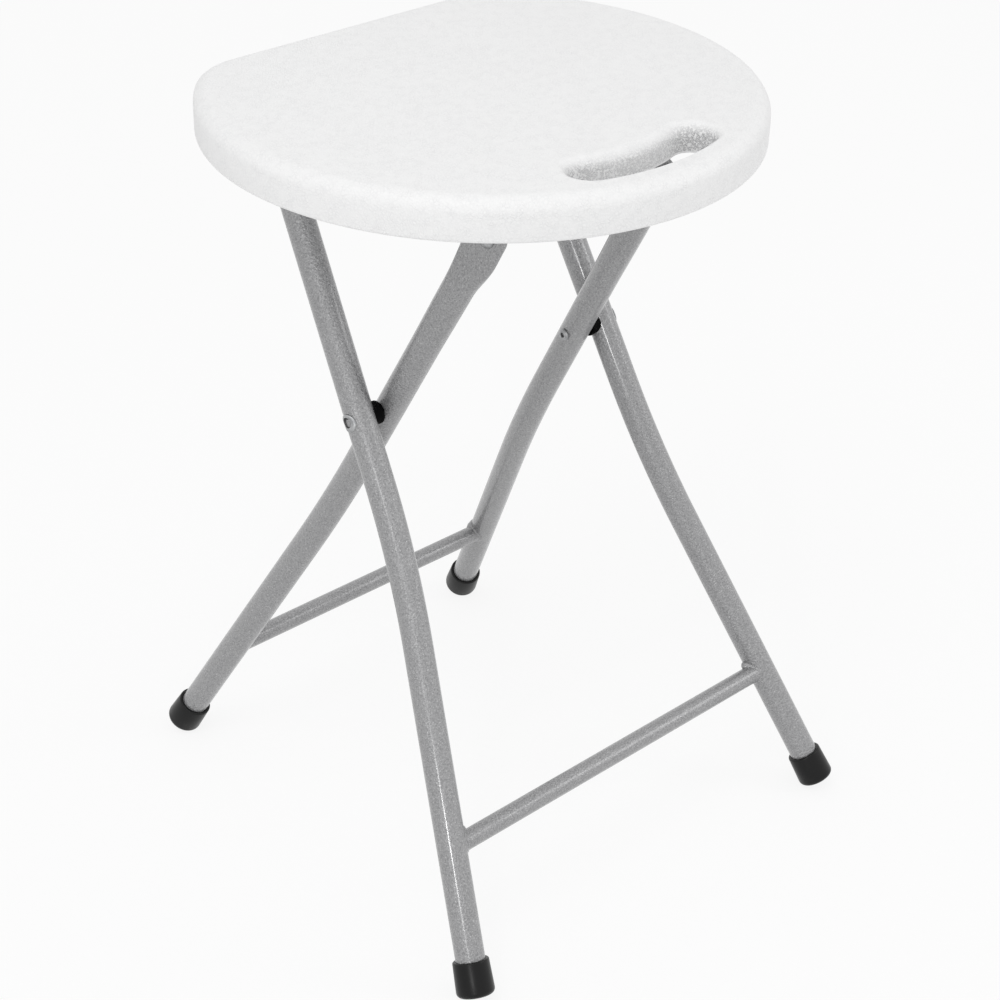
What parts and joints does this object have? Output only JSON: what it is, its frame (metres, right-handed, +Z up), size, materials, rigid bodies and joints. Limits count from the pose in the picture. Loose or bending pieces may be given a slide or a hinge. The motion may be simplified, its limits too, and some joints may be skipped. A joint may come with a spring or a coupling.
{
  "type": "folding stool",
  "caption": "Round folding stool: a moulded plastic seat with a hand slot, hinged on two crossed and splayed steel tube frames with rubber feet.",
  "frame": {"origin": "on the floor, midway between the front and the back feet and midway between left and right", "axes": "+Z up, +Y towards the flat back edge of the seat, where its hinge is, and -Y towards the hand slot"},
  "size_m": [0.3038, 0.3187, 0.44],
  "materials": {
    "seat": "white, fine pebble grain",
    "frame": "grey silver hammertone paint",
    "bare_steel": "zinc plated, dull",
    "fittings": "black, moulded nylon",
    "feet": "black, dull"
  },
  "bodies": {
    "outer_frame": {"outer_tube": "frame", "outer_stretcher": "frame", "outer_foot_left": "feet", "outer_foot_right": "feet", "pivot_rivet_left": "bare_steel", "pivot_rivet_right": "bare_steel", "pivot_spacer_left": "fittings", "pivot_spacer_right": "fittings"},
    "inner_frame": {"inner_leg_left": "frame", "inner_leg_right": "frame", "inner_stretcher": "frame", "top_rod": "bare_steel", "inner_foot_left": "feet", "inner_foot_right": "feet"},
    "seat": {"seat_shell": "seat", "hinge_strap_left": "bare_steel", "hinge_strap_right": "bare_steel", "strap_screws": "bare_steel", "front_hook_left": "seat", "front_hook_right": "seat", "hook_screws": "bare_steel"}
  },
  "joints": [
    {"name": "leg_fold", "type": "hinge", "parent": "outer_frame", "child": "inner_frame", "pos_m": [0, 0.0063, 0.2755], "axis": [-1, 0, 0], "range_deg": [0, 54.4]},
    {"name": "seat_lift", "type": "hinge", "parent": "outer_frame", "child": "seat", "pos_m": [0, 0.088, 0.41645], "axis": [-1, 0, 0], "range_deg": [0, 105]}
  ]
}
